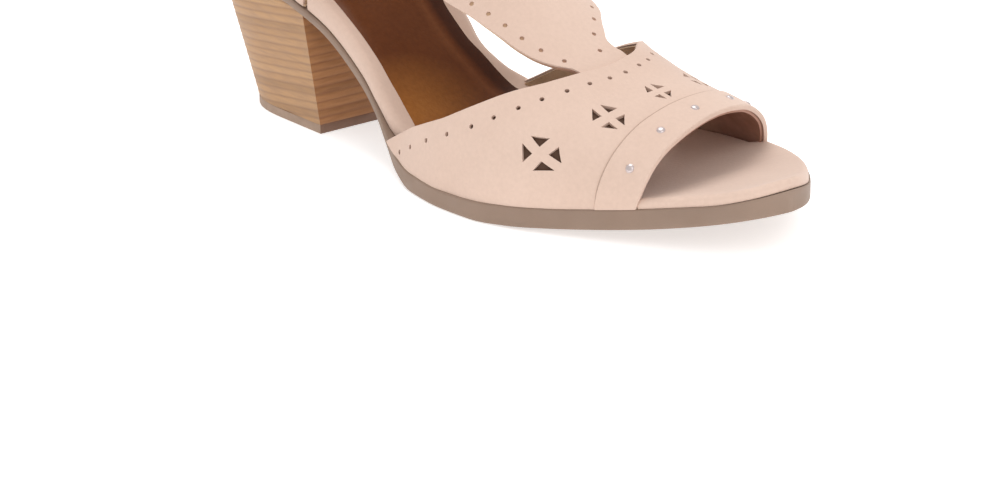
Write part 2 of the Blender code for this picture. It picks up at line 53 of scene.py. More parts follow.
RIB_DEPTH = 0.12
UNDERSIDE = -0.8
SHARP_EDGE = np.radians(42)
SOLE = np.array([
    # x      lateral  medial  bottom  thickness
    [0.0,     -7.0,   -7.0,   55.0,   2.6],
    [2.0,    -21.0,    6.0,   54.6,   2.6],
    [8.0,    -32.0,   16.5,   53.2,   2.6],
    [20.0,   -37.8,   22.8,   50.0,   2.6],
    [35.0,   -39.2,   24.0,   45.8,   2.6],
    [50.0,   -39.0,   23.2,   41.6,   2.6],
    [64.0,   -38.2,   20.6,   37.6,   2.7],
    [76.0,   -37.9,   13.2,   33.6,   2.9],
    [85.0,   -37.6,   10.0,   28.6,   3.1],
    [95.0,   -37.7,    9.4,   21.8,   3.3],
    [104.0,  -38.9,   12.4,   14.8,   3.4],
    [112.0,  -41.0,   18.0,    7.8,   4.0],
    [120.0,  -43.7,   24.4,    2.4,   5.0],
    [130.0,  -46.4,   32.0,    0.0,   5.9],
    [145.0,  -48.2,   41.0,    0.0,   5.6],
    [158.0,  -47.4,   45.6,    0.0,   6.0],
    [170.0,  -44.0,   47.0,    0.6,   6.2],
    [182.0,  -38.2,   46.0,    1.8,   6.1],
    [194.0,  -31.8,   42.6,    3.4,   6.2],
    [206.0,  -25.4,   36.6,    5.4,   6.2],
    [216.0,  -20.0,   29.8,    7.5,   6.05],
    [226.0,  -14.0,   20.8,   10.0,   5.65],
    [233.0,   -7.4,   13.0,   12.0,   5.95],
    [236.5,    3.0,    3.0,   13.0,   6.4],
])


def smooth(t, xs, ys):
    """Monotone cubic through the rows of a table."""
    xs = np.asarray(xs, float)
    ys = np.asarray(ys, float)
    step = np.diff(xs)
    rise = np.diff(ys) / step
    slope = np.zeros_like(ys)
    slope[0] = rise[0]
    slope[-1] = rise[-1]
    for i in range(1, len(xs) - 1):
        if rise[i - 1] * rise[i] > 0:
            before = 2 * step[i] + step[i - 1]
            after = step[i] + 2 * step[i - 1]
            slope[i] = (before + after) / (before / rise[i - 1] + after / rise[i])
    t = np.clip(np.asarray(t, float), xs[0], xs[-1])
    k = np.clip(np.searchsorted(xs, t) - 1, 0, len(xs) - 2)
    u = (t - xs[k]) / step[k]
    return ((2 * u**3 - 3 * u**2 + 1) * ys[k] + (u**3 - 2 * u**2 + u) * step[k] * slope[k]
            + (3 * u**2 - 2 * u**3) * ys[k + 1] + (u**3 - u**2) * step[k] * slope[k + 1])


def sweep(x):
    """Angle that runs evenly round the sole's two ends, so that they come out round."""
    return np.arccos(np.clip(1 - 2 * np.asarray(x, float) / LENGTH, -1, 1))


def lateral(x):
    return smooth(sweep(x), sweep(SOLE[:, 0]), SOLE[:, 1])


def medial(x):
    return smooth(sweep(x), sweep(SOLE[:, 0]), SOLE[:, 2])


def sole_bottom(x):
    return smooth(x, SOLE[:, 0], SOLE[:, 3])


def sole_top(x):
    return sole_bottom(x) + smooth(x, SOLE[:, 0], SOLE[:, 4])


whole_sole = np.linspace(0, LENGTH, 1000)
MIDDLE = (LENGTH / 2, (lateral(whole_sole).min() + medial(whole_sole).max()) / 2, 0.0)


def place(points):
    """Shoe millimetres to the frame, which has its origin on the floor under the middle of the sole."""
    return (np.asarray(points, float) - MIDDLE) * MM


def fit(name, mesh, material, slot, *nodes):
    """Puts a finished mesh on the shoe, in the place of the CAD nodes that it stands for."""
    work = bmesh.new()
    work.from_mesh(mesh)
    bmesh.ops.remove_doubles(work, verts=work.verts, dist=1e-6)
    bmesh.ops.recalc_face_normals(work, faces=work.faces)
    work.to_mesh(mesh)
    work.free()
    mesh.shade_smooth()
    mesh.set_sharp_from_angle(angle=SHARP_EDGE)
    mesh.materials.clear()
    mesh.materials.append(material)
    obj = bpy.data.objects.new(name, mesh)
    bpy.context.scene.collection.objects.link(obj)
    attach(obj, "root")
    if nodes:
        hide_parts(*nodes)


def skin(name, rings):
    """Mesh over closed rings with the same number of points, flat at both ends."""
    rings = np.asarray(rings, float)
    count, n = rings.shape[:2]
    faces = [(i * n + j, i * n + (j + 1) % n, (i + 1) * n + (j + 1) % n, (i + 1) * n + j)
             for i in range(count - 1) for j in range(n)]
    faces += [tuple(range(n)), tuple(range((count - 1) * n, count * n))]
    mesh = bpy.data.meshes.new(name)
    mesh.from_pydata(place(rings.reshape(-1, 3)).tolist(), [], faces)
    return mesh


def surface(name, colour, roughness, **fixed):
    """Material whose constant values stand on the shader's own sockets."""
    material = bpy.data.materials.new(name)
    material.use_nodes = True
    shader = material.node_tree.nodes["Principled BSDF"]
    shader.inputs["Base Color"].default_value = (*colour, 1.0)
    shader.inputs["Roughness"].default_value = roughness
    for socket, value in fixed.items():
        shader.inputs[socket.replace("_", " ")].default_value = value
    return material


def node(material, kind, **sockets):
    """A shader node, its inputs set to values or linked to the outputs of other nodes."""
    made = material.node_tree.nodes.new("ShaderNode" + kind)
    for key, value in sockets.items():
        socket = made.inputs[int(key[1:])] if key[1:].isdigit() else made.inputs[key]
        if isinstance(value, bpy.types.NodeSocket):
            material.node_tree.links.new(value, socket)
        else:
            socket.default_value = value
    return made


def calc(material, operation, a, b=0.0):
    made = node(material, "Math", _0=a, _1=b)
    made.operation = operation
    return made.outputs[0]


def coordinate(material, vector, index):
    """One coordinate of a vector: 0 along the shoe, 1 across it, 2 up."""
    return node(material, "SeparateXYZ", Vector=vector).outputs[index]


def noise(material, scale, detail=3.0, stretch=(1.0, 1.0, 1.0)):
    """Cloudy value in the shoe's own space, its scale in features a metre."""
    space = node(material, "TexCoord").outputs["Object"]
    mapped = node(material, "Mapping", Vector=space, Scale=stretch).outputs[0]
    return node(material, "TexNoise", Vector=mapped, Scale=scale, Detail=detail).outputs[0]


def pores(material, scale):
    """Distance to the nearest of many scattered pores."""
    space = node(material, "TexCoord").outputs["Object"]
    return node(material, "TexVoronoi", Vector=space, Scale=scale).outputs[0]


def ramp(material, factor, *stops):
    """Colours along a value, as pairs of position and colour."""
    made = node(material, "ValToRGB", Fac=factor)
    elements = made.color_ramp.elements
    while len(elements) < len(stops):
        elements.new(0.5)
    for element, (position, colour) in zip(elements, stops):
        element.position = position
        element.color = (*colour, 1.0)
    return made.outputs[0]


def blend(material, factor, first, second, mode="MIX"):
    made = node(material, "Mix", _0=factor, _6=first, _7=second)
    made.data_type = "RGBA"
    made.blend_type = mode
    return made.outputs[2]


def paint(material, socket, value):
    shader = material.node_tree.nodes["Principled BSDF"]
    material.node_tree.links.new(value, shader.inputs[socket])


def relief(material, height, depth):
    """Bump so many millimetres deep, over what is there already."""
    shader = material.node_tree.nodes["Principled BSDF"]
    bump = node(material, "Bump", Height=height, Distance=depth * MM)
    for link in list(shader.inputs["Normal"].links):
        material.node_tree.links.new(link.from_socket, bump.inputs["Normal"])
    material.node_tree.links.new(bump.outputs[0], shader.inputs["Normal"])


def level(material, value, low, high):
    """A cloudy value brought to a range."""
    return node(material, "MapRange", Value=value, _1=0.3, _2=0.7, _3=low, _4=high).outputs[0]


sole_rubber = surface("sole_rubber", (0.36, 0.27, 0.21), 0.6)
paint(sole_rubber, "Base Color", ramp(sole_rubber, noise(sole_rubber, 55.0, 5.0),
                                      (0.3, (0.230, 0.152, 0.108)), (0.7, (0.266, 0.178, 0.128))))
paint(sole_rubber, "Roughness", level(sole_rubber, noise(sole_rubber, 130.0), 0.5, 0.68))
along = coordinate(sole_rubber, node(sole_rubber, "TexCoord").outputs["Object"], 0)
facing = coordinate(sole_rubber, node(sole_rubber, "NewGeometry").outputs["Normal"], 2)
ribs = calc(sole_rubber, "SINE", calc(sole_rubber, "MULTIPLY", along, 2 * np.pi / (RIB_PITCH * MM)))
ribs = calc(sole_rubber, "MULTIPLY", ribs, calc(sole_rubber, "LESS_THAN", facing, UNDERSIDE))
relief(sole_rubber, ribs, RIB_DEPTH)
relief(sole_rubber, noise(sole_rubber, 2400.0), 0.05)

QUARTER = np.radians(np.linspace(0, 90, 6))
rings = []
for x in LENGTH * (1 - np.cos(np.linspace(0.02, np.pi - 0.02, 170))) / 2:
    narrow = min(1.0, (medial(x) - lateral(x)) / FULL_ROUND_WIDTH)
    tread, feather = TREAD_ROUND * narrow, FEATHER_ROUND * narrow
    height = sole_top(x) - sole_bottom(x)
    side = [(tread * (1 - np.sin(a)), tread * (1 - np.cos(a))) for a in QUARTER]
    side += [(feather * (1 - np.cos(a)), height - feather * (1 - np.sin(a))) for a in QUARTER]
    rings.append([(x, lateral(x) + inset, sole_bottom(x) + up) for inset, up in side]
                 + [(x, medial(x) - inset, sole_bottom(x) + up) for inset, up in side[::-1]])
fit("outsole_rubber", skin("outsole_rubber", rings), sole_rubber, "outsole_rubber", "outsole")

# Heel. A block of thin tan leather layers, glued, turned to a D and sanded: each layer has its own tone,
# with a fine dark line where two meet. The breast in front is flat, and the block narrows to the floor.
LIFT_HEIGHT = 3.0
HEAD_BACK_X = 1.6
HEAD_INSET = 0.8
BACK_CLOSE = 0.12
BACK_BOW = 0.62
BACK_SQUARENESS = 3.1
HEEL_CORE = np.array([46.0, -7.0])
BREAST_X = 65.5
LIFT_FRONT_X = 70.5
LIFT_BACK_X = 24.5
LIFT_HALF_WIDTH = 28.6
LIFT_MIDDLE_Y = -6.4
STACK_HEIGHT = 66.0
FIRST_LAYER_SUNK = 1.0
LAYER = 2.45
LAYER_TILT = np.tan(np.radians(7.0))
LAYER_ROUND = 0.6
GROOVE_DEPTH = 0.1
GROOVE_HALF = 0.12
GLUE_TONE = (0.22, 0.11, 0.06, 1.0)
BREAST_STAIN_AND_SHADE = (1.0, 0.82, 0.70, 1.0)


def heel_column(f, side):
    """Foot and head of an upright line of the heel, at f from the back to the breast."""
    run = 1 - np.cos(f * np.pi / 2)
    close = np.sin(min(1.0, f / BACK_CLOSE) * np.pi / 2) ** 0.7
    head_x = HEAD_BACK_X + (BREAST_X - HEAD_BACK_X) * run
    foot_x = LIFT_BACK_X + (LIFT_FRONT_X - LIFT_BACK_X) * run
    bow = max(0.0, (BACK_BOW - run) / BACK_BOW)
    width = LIFT_HALF_WIDTH * (1 - bow**BACK_SQUARENESS) ** (1 / BACK_SQUARENESS) if f > 0 else 0.0
    edges = (lateral(head_x) + HEAD_INSET, medial(head_x) - HEAD_INSET)
    middle = sum(edges) / 2
    head_y = middle + (edges[side] - middle) * close
    foot_y = LIFT_MIDDLE_Y + (width if side else -width)
    return np.array([foot_x, foot_y, LIFT_HEIGHT]), np.array([head_x, head_y, sole_bottom(head_x)])


shares = np.linspace(0, 1, 46)
breast = np.concatenate([[0.002], np.linspace(0, 1, 12)[1:-1], [0.998]])
columns = [heel_column(f, 0) for f in shares]
corner_out, corner_in = columns[-1], heel_column(1.0, 1)
columns += [(corner_out[0] * (1 - t) + corner_in[0] * t, corner_out[1] * (1 - t) + corner_in[1] * t)
            for t in breast]
columns += [heel_column(f, 1) for f in shares[:0:-1]]
feet = np.array([c[0] for c in columns])
heads = np.array([c[1] for c in columns])
in_front = [0.0] * len(shares) + [1.0] * len(breast) + [0.0] * (len(shares) - 1)


def pull_in(ring, inset):
    """Moves a ring of the heel in towards the heel's core."""
    inward = HEEL_CORE - ring[:, :2]
    ring[:, :2] += inward / np.linalg.norm(inward, axis=1, keepdims=True) * inset
    return ring


def heel_ring(height, inset):
    """Ring round the heel in the plane of a layer, stopped by the seat above and the lift below."""
    rise = heads - feet
    share = height + LAYER_TILT * (feet[:, 0] - BREAST_X) - feet[:, 2]
    share = np.clip(share / (rise[:, 2] - LAYER_TILT * rise[:, 0]), 0, 1)
    return pull_in(feet + rise * share[:, None], inset)


def mark(mesh, name, values):
    """Gives the points of a mesh a named value each, for its material to read."""
    mesh.attributes.new(name, "FLOAT", "POINT").data.foreach_set("value", values)


def marked(material, name):
    """The value that the mesh has been marked with."""
    made = node(material, "Attribute")
    made.attribute_name = name
    return made.outputs["Fac"]


rings, tone, line = [], [], []
for k in range(int(np.ceil(STACK_HEIGHT / LAYER))):
    low = LIFT_HEIGHT - FIRST_LAYER_SUNK + k * LAYER
    for up, inset, dark in ((GROOVE_HALF, GROOVE_DEPTH, 1.0), (LAYER_ROUND, 0.0, 0.0),
                            (LAYER / 2, 0.0, 0.0), (LAYER - LAYER_ROUND, 0.0, 0.0),
                            (LAYER - GROOVE_HALF, GROOVE_DEPTH, 1.0)):
        rings.append(heel_ring(low + up, inset))
        tone += [float(k)] * len(feet)
        line += [dark] * len(feet)
stack = skin("heel_layers", rings)
for name, values in (("layer", tone), ("line", line), ("in_front", in_front * len(rings))):
    mark(stack, name, values)

stack_leather = surface("stack_leather", (0.5, 0.3, 0.18), 0.5)
layer_tone = node(stack_leather, "TexWhiteNoise")
layer_tone.noise_dimensions = "1D"
stack_leather.node_tree.links.new(marked(stack_leather, "layer"), layer_tone.inputs["W"])
fibres = noise(stack_leather, 120.0, 6.0, (1.0, 1.0, 9.0))
tan = ramp(stack_leather, layer_tone.outputs[0], (0.0, (0.350, 0.190, 0.082)),
           (0.5, (0.412, 0.226, 0.101)), (1.0, (0.465, 0.264, 0.121)))
streaks = ramp(stack_leather, fibres, (0.25, (0.72, 0.66, 0.6)), (0.6, (1.0, 1.0, 1.0)))
tan = blend(stack_leather, 0.75, tan, streaks, "MULTIPLY")
glue_line = calc(stack_leather, "MULTIPLY", marked(stack_leather, "line"), 0.4)
tan = blend(stack_leather, glue_line, tan, GLUE_TONE)
# The breast is darker: partly its own finish, partly painted shade where it faces the arch.
stained_and_shaded = blend(stack_leather, 1.0, tan, BREAST_STAIN_AND_SHADE, "MULTIPLY")
paint(stack_leather, "Base Color", blend(stack_leather, marked(stack_leather, "in_front"), tan, stained_and_shaded))
paint(stack_leather, "Roughness", level(stack_leather, fibres, 0.42, 0.6))
relief(stack_leather, fibres, 0.06)
fit("heel_layers", stack, stack_leather, "stacked_leather", "heel_stack")

# Top lift. A slab of hard grey-brown rubber, nailed under the heel and trimmed flush with it. Its lower
# edge is rounded off, and its front face is darker than the sides: partly its own tint, partly painted
# shade.
LIFT_ROUND = 0.5
LIFT_BREAK = 0.15
LIFT_STAIN_AND_SHADE = (0.62, 0.50, 0.45, 1.0)
lift_rubber = surface("lift_rubber", (0.3, 0.22, 0.17), 0.62)
taupe = ramp(lift_rubber, noise(lift_rubber, 300.0, 4.0), (0.3, (0.325, 0.220, 0.156)),
             (0.7, (0.375, 0.258, 0.188)))
# Darker front face: partly its own tint, partly painted shade.
stained_and_shaded = blend(lift_rubber, 1.0, taupe, LIFT_STAIN_AND_SHADE, "MULTIPLY")
paint(lift_rubber, "Base Color", blend(lift_rubber, marked(lift_rubber, "in_front"), taupe, stained_and_shaded))
relief(lift_rubber, noise(lift_rubber, 1900.0), 0.06)
rings = []
for up, inset in ((0.0, LIFT_ROUND), (LIFT_BREAK, LIFT_BREAK), (LIFT_ROUND, 0.0),
                  (LIFT_HEIGHT - LIFT_BREAK, 0.0), (LIFT_HEIGHT, LIFT_BREAK)):
    ring = pull_in(feet.copy(), inset)
    ring[:, 2] = up
    rings.append(ring)
lift = skin("lift_slab", rings)
mark(lift, "in_front", in_front * len(rings))
fit("lift_slab", lift, lift_rubber, "lift_rubber", "heel_top_lift")

# Footbed. A board wrapped in the upper's pale nubuck, with a soft rounded margin and a hollow for the foot.
# It shows at the arch and the toe, and elsewhere it lies inside the upper, so the last is worked out here.
WALL = 2.0
JOINT = 0.3
SEAT_GAP = 0.45
SEAT_FRONT_X = 66.2
OUTER_INSET = 1.0
INNER_INSET = 2.6
ROUNDNESS = 2.25
ARCH_ROW = 6
SEAM_ROW = 8
COLLAR_ROW = 13
BED_CLEARANCE = 0.2
TOPLINE_CLEARANCE = 0.25
RIM_CLEARANCE = 0.04
BED_SUNK = 0.1
BED_ROUND = 2.4
TOE_EDGE_ROUND = 1.2
TOE_FROM_X = 208.0
TOE_RUN = 14.0
ARCH_TUCK = 1.0
TOE_TUCK = 0.15
TUCK_FADE_X = (104.0, 125.0)
CUP = 4.0
FOOTBED = np.array([
    # x      lateral  medial  height  hollow
    [0.0,     4.3,     4.3,    4.0,    1.0],
    [58.0,    4.3,     4.3,    5.0,    2.6],
    [66.4,    4.3,     4.3,    5.5,    2.8],
    [68.2,    0.7,     0.9,    5.6,    2.8],
    [88.0,    0.6,     1.2,    5.4,    2.6],
    [101.0,   0.6,     3.0,    5.2,    2.35],
    [106.0,   1.1,     2.7,    5.1,    2.2],
    [110.6,   2.0,     1.1,    4.85,   1.95],
    [112.5,   2.6,     3.4,    4.7,    1.8],
    [117.0,   4.1,     5.4,    4.4,    1.6],
    [138.0,   4.3,     5.4,    3.4,    1.0],
    [150.0,   4.3,     4.5,    3.2,    0.9],
    [182.4,   4.3,     4.3,    2.8,    0.6],
    [184.2,   4.3,     0.6,    2.75,   0.55],
    [203.2,   4.3,     0.6,    2.5,    0.2],
    [204.7,   0.6,     0.6,    2.5,    0.0],
    [236.5,   0.6,     0.6,    2.3,    0.0],
])
# Sections of the last: the middle of the base, then the ridge over it. Those without a base height stand
# on the sole, the others rise along the side seam above the heel breast. The medial shoulder is the part
# by which the round between ridge and base is fuller, or flatter where it is negative.
LAST = np.array([
    # base x  base z  ridge x  ridge z  shoulder
    [216.0,   None,   216.0,    28.6,   -0.020],
    [202.0,   None,   204.0,    31.4,   -0.040],
    [187.0,   None,   191.0,    34.2,   -0.065],
    [170.0,   None,   177.0,    38.0,   -0.085],
    [154.0,   None,   164.0,    43.6,   -0.075],
    [138.0,   None,   151.0,    52.0,   -0.020],
    [120.0,   None,   138.0,    61.0,    0.050],
    [100.0,   None,   126.0,    70.5,    0.050],
    [65.6,    None,   114.5,    82.0,    0.0],
    [67.0,    57.0,   108.5,    91.5,    0.0],
    [67.5,    73.0,   104.5,   100.0,    0.0],
    [68.0,    90.0,   102.0,   108.0,    0.0],
    [68.5,   108.0,   100.5,   116.0,    0.0],
    [69.0,   126.0,   100.0,   124.5,    0.0],
], dtype=object)
ANKLE = np.array([
    # z      back x  lateral  medial  roundness
    [40.0,   3.4,    -37.5,   18.6,   3.0],
    [50.0,   2.4,    -37.4,   19.6,   3.0],
    [62.0,   1.2,    -37.0,   20.8,   2.9],
    [76.0,   2.6,    -36.6,   22.2,   2.7],
    [92.0,   7.0,    -36.2,   24.0,   2.5],
    [110.0,  10.5,   -36.6,   25.5,   2.35],
    [126.0,  11.5,   -37.5,   26.5,   2.25],
])
# Cut lines of the vamp. Angles are in degrees from the ridge, negative on the lateral side.
VAMP = np.array([
    # angle   topline  seam   rim
    [-90.0,   6.36,    1.53,  0.82],
    [-81.0,   5.93,    1.55,  0.78],
    [-67.0,   5.02,    1.57,  0.76],
    [-54.0,   4.49,    1.61,  0.78],
    [-40.0,   4.08,    1.67,  0.82],
    [-28.0,   3.77,    1.74,  0.87],
    [-17.0,   3.61,    1.80,  0.95],
    [-6.0,    3.52,    1.88,  1.06],
    [5.0,     3.68,    1.97,  1.21],
    [11.0,    3.83,    2.02,  1.27],
    [21.0,    4.18,    2.12,  1.38],
    [30.0,    4.39,    2.24,  1.52],
    [45.0,    4.79,    2.48,  1.74],
    [60.0,    5.39,    2.66,  1.92],
    [75.0,    6.16,    2.80,  2.08],
    [90.0,    6.70,    2.90,  2.20],
])


def footbed(x, column):
    return smooth(x, FOOTBED[:, 0], FOOTBED[:, column])


def ankle(z, column):
    return smooth(z, ANKLE[:, 0], ANKLE[:, column])


def along_last(s, column):
    rows = LAST[:, column].astype(float)
    return smooth(s, np.arange(len(rows)), rows)


def seam_height(s):
    """Height of the base: on the sole up to the side seam, then along that seam."""
    heights = LAST[SEAM_ROW:, 1].copy()
    heights[0] = float(sole_top(LAST[SEAM_ROW, 0])) + SEAT_GAP
    risen = smooth(s, np.arange(SEAM_ROW, len(LAST)), heights.astype(float))
    return np.where(s <= SEAM_ROW, sole_top(along_last(s, 0)) + SEAT_GAP, risen)


def side_lines(s, base_x, base_z):
    """Outer and inner side of the base: along the sole under the vamp, then straight across the arch."""
    leave = LAST[ARCH_ROW, 0]
    share = np.clip((s - ARCH_ROW) / (SEAM_ROW - ARCH_ROW), 0, 1)
    sides = []
    for edge, inset, column in ((lateral, OUTER_INSET, 2), (medial, -INNER_INSET, 3)):
        over_arch = (edge(leave) + inset) * (1 - share) + ankle(ANKLE[0, 0], column) * share
        sides.append(np.where(s <= ARCH_ROW, edge(base_x) + inset,
                              np.where(s <= SEAM_ROW, over_arch, ankle(base_z, column))))
    return sides


def waist(s, base_x, inner):
    """How far the foot of the medial side tucks in by the arch, to stay on the narrow sole."""
    fade = np.clip(s - ARCH_ROW - 1, 0, 1)
    outside = np.maximum(0.0, inner - medial(base_x) + INNER_INSET)
    return np.where((s > ARCH_ROW) & (s < SEAM_ROW), outside * (1 - fade * fade * (3 - 2 * fade)), 0.0)


def on_last(s, angle):
    """Outer face of the upper at section s and at an angle from the ridge; past 90 it turns to the back."""
    s, angle = np.broadcast_arrays(np.asarray(s, float), np.asarray(angle, float))
    base_x, ridge_x, ridge_z = (along_last(s, k) for k in (0, 2, 3))
    base_z = seam_height(s)
    outer, inner = side_lines(s, base_x, base_z)
    turn = np.radians(angle)
    front = np.cos(turn) >= 0
    power = 2.0 / np.where(front, ROUNDNESS, ankle(base_z, 4))
    across = np.sign(np.sin(turn)) * np.abs(np.sin(turn)) ** power
    up = np.abs(np.cos(turn)) ** power
    inside = front & (np.sin(turn) > 0)
    shoulder = 1 + np.where(inside, along_last(s, 4) * np.sin(2 * turn) ** 2, 0.0)
    x = base_x + np.where(front, ridge_x - base_x, ankle(base_z, 1) - base_x) * up * shoulder
    y = (outer + inner) / 2 + (inner - outer) / 2 * across * shoulder
    y = y - np.where(inside, waist(s, base_x, inner) * np.sin(turn) ** 6, 0.0)
    z = base_z + np.where(front, ridge_z - base_z, 0.0) * up * shoulder
    return np.stack([x, y, z], axis=-1)


def slopes(s, angle):
    """How the last runs per section and per degree; below the side seam it ends at 90 degrees."""
    ds, da = 0.02, 0.5
    fixed = s < SEAM_ROW
    low = np.where(fixed, np.maximum(angle - da, -90), angle - da)
    high = np.where(fixed, np.minimum(angle + da, 90), angle + da)
    by_row = (on_last(s + ds, angle) - on_last(s - ds, angle)) / (2 * ds)
    by_angle = (on_last(s, high) - on_last(s, low)) / (high - low)[..., None]
    return by_row, by_angle


def last_normal(s, angle):
    by_row, by_angle = slopes(np.asarray(s, float), np.asarray(angle, float))
    normal = np.cross(by_angle, by_row)
    return normal / np.linalg.norm(normal, axis=-1, keepdims=True)


def vamp_line(angle, column):
    return smooth(angle, VAMP[:, 0], VAMP[:, column])


def seat_row(angle):
    """Section at which the back of the upper meets the sole."""
    low, high = SEAM_ROW, SEAM_ROW + 3.0
    for _ in range(40):
        s = (low + high) / 2
        point = on_last(s, angle)
        if point[2] > sole_top(point[0]) + SEAT_GAP:
            high = s
        else:
            low = s
    return s


seat_angles = np.linspace(90, 270, 61)
seat_rows = np.array([seat_row(a) for a in seat_angles])
INSIDE = WALL + JOINT + BED_CLEARANCE
seat_inside = on_last(seat_rows, seat_angles) - last_normal(seat_rows, seat_angles) * INSIDE
seat_medial, seat_lateral = seat_inside[:31][::-1], seat_inside[30:]


def vamp_inside(angle):
    """Line where the footbed has to stay inside the vamp, from its topline forward to the rim."""
    rows = np.linspace(vamp_line(angle, 1) - TOPLINE_CLEARANCE, vamp_line(angle, 3) + RIM_CLEARANCE, 50)
    angles = np.full(rows.shape, angle)
    return on_last(rows, angles) - last_normal(rows, angles) * INSIDE


vamp_lateral, vamp_medial = vamp_inside(-90.0), vamp_inside(90.0)


def footbed_edges(x):
    """Lateral and medial side of the footbed: inside the counter and the vamp, else out on the sole."""
    outer, inner = lateral(x) + footbed(x, 1), medial(x) - footbed(x, 2)
    if x < SEAT_FRONT_X:
        outer = max(outer, np.interp(x, seat_lateral[:, 0], seat_lateral[:, 1]))
        inner = min(inner, np.interp(x, seat_medial[:, 0], seat_medial[:, 1]))
    if vamp_lateral[0, 0] < x < vamp_lateral[-1, 0]:
        outer = max(outer, np.interp(x, vamp_lateral[:, 0], vamp_lateral[:, 1]))
    if vamp_medial[0, 0] < x < vamp_medial[-1, 0]:
        inner = min(inner, np.interp(x, vamp_medial[:, 0], vamp_medial[:, 1]))
    return outer, inner


def footbed_top(x, t):
    """Top of the footbed at x and at t from -1 on the lateral edge to 1 on the medial edge."""
    return sole_top(x) + JOINT + footbed(x, 3) - footbed(x, 4) * (1 - np.abs(t) ** CUP)


def toe_turn(x):
    """How far the sole's edge has turned across the shoe at the toe, in radians."""
    reach = min(0.2, (LENGTH - x) / 2 + 1e-5)
    ends = np.array([x - reach, x + reach])
    halves = (medial(ends) - lateral(ends)) / 2
    turned = np.arctan((halves[0] - halves[1]) / (ends[1] - ends[0]))
    return turned * np.clip((x - TOE_FROM_X) / TOE_RUN, 0, 1)


nubuck = surface("nubuck", (0.8, 0.6, 0.49), 0.85, Sheen_Weight=0.18, Sheen_Roughness=0.45)
clouds = ramp(nubuck, noise(nubuck, 26.0, 4.0), (0.3, (0.625, 0.450, 0.362)), (0.7, (0.680, 0.504, 0.412)))
nap = noise(nubuck, 850.0, 4.0)
nap_tone = ramp(nubuck, nap, (0.3, (0.93, 0.92, 0.91)), (0.7, (1.0, 1.0, 1.0)))
paint(nubuck, "Base Color", blend(nubuck, 0.8, clouds, nap_tone, "MULTIPLY"))
paint(nubuck, "Roughness", level(nubuck, nap, 0.78, 0.92))
relief(nubuck, noise(nubuck, 2300.0, 2.0), 0.045)
relief(nubuck, pores(nubuck, 900.0), 0.03)

back = seat_inside[:, 0].min() + 0.1
to_the_tip = np.pi - np.array([0.012, 0.007, 0.004, 0.002, 0.0008])
stations = np.concatenate([np.linspace(0.03, np.pi - 0.02, 188), to_the_tip])
rings = []
for x in back + (LENGTH - back) * (1 - np.cos(stations)) / 2:
    outer, inner = footbed_edges(x)
    turn = toe_turn(x)
    margin = min(footbed(x, 1), footbed(x, 2))
    outer -= margin * (1 - np.cos(turn))
    inner += margin * (1 - np.cos(turn))
    ahead = -margin * np.sin(turn)
    base = sole_top(x) - BED_SUNK
    crown = footbed(x, 3) + JOINT + BED_SUNK
    rounding = min(BED_ROUND, 0.35 * (inner - outer) / 2 + TOE_EDGE_ROUND * np.sin(turn), 0.7 * crown)
    tuck = min(np.interp(x, TUCK_FADE_X, (ARCH_TUCK, TOE_TUCK)), 0.35 * crown)
    side = [(tuck, 0.0), (0.45 * tuck, 0.25 * tuck), (0.1 * tuck, 0.65 * tuck), (0.0, 1.1 * tuck)]
    side += [(rounding * (1 - np.cos(a)), crown - rounding * (1 - np.sin(a))) for a in QUARTER[:-1]]
    left = [(x + ahead - i * np.sin(turn), outer + i * np.cos(turn), base + up) for i, up in side]
    right = [(x + ahead - i * np.sin(turn), inner - i * np.cos(turn), base + up) for i, up in side[::-1]]
    flat_half = (inner - outer) / 2 - rounding * np.cos(turn)
    top = [(x + ahead - rounding * np.sin(turn), (outer + inner) / 2 + flat_half * t, footbed_top(x, t))
           for t in np.linspace(-1, 1, 33)]
    rings.append(left + top + right)
fit("footbed_wrap", skin("footbed_wrap", rings), nubuck, "nude_leather", "footbed")

# Insole sock. Thin brown leather with a waxy shine, glued into the hollow of the footbed from the heel to
# under the vamp. It turns a lighter orange where the arch meets the ball of the foot. Along its medial side
# a painted highlight streak and painted shade stand for the light on the rising side of the hollow.
SOCK_THICKNESS = 0.8
SOCK_BACK = 9.0
SOCK_FRONT = 150.0
SOCK_HEEL_END = 8.5
SOCK_HEEL_ROUND = 16.0
SOCK_SUNK = 0.1
SOCK_PROUD = 0.05
SOCK_INSET = np.array([
    # x      from the sole's edge
    [0.0,    9.7],
    [58.0,   9.7],
    [82.0,   6.6],
    [98.0,   6.6],
    [120.0,  9.7],
    [150.0,  9.7],
])
ORANGE_PLACE = (112.0, -26.0, 14.0)
ORANGE_CORE = 4.0
ORANGE_REACH = 24.0
ORANGE_TONE = (0.36, 0.138, 0.032, 1.0)
sock_leather = surface("sock_leather", (0.16, 0.045, 0.012), 0.45, Specular_IOR_Level=0.1)
sock_colour = ramp(sock_leather, noise(sock_leather, 20.0, 3.0), (0.3, (0.112, 0.031, 0.008)),
           (0.7, (0.158, 0.049, 0.014)))
# A lighter orange patch where the arch meets the ball of the foot.
orange_patch = node(sock_leather, "VectorMath", _0=node(sock_leather, "TexCoord").outputs["Object"],
              _1=tuple(place(ORANGE_PLACE)))
orange_patch.operation = "DISTANCE"
orange_patch = node(sock_leather, "MapRange", Value=orange_patch.outputs["Value"], _1=ORANGE_CORE * MM,
              _2=ORANGE_REACH * MM, _3=0.85, _4=0.0).outputs[0]
sock_colour = blend(sock_leather, orange_patch, sock_colour, ORANGE_TONE)
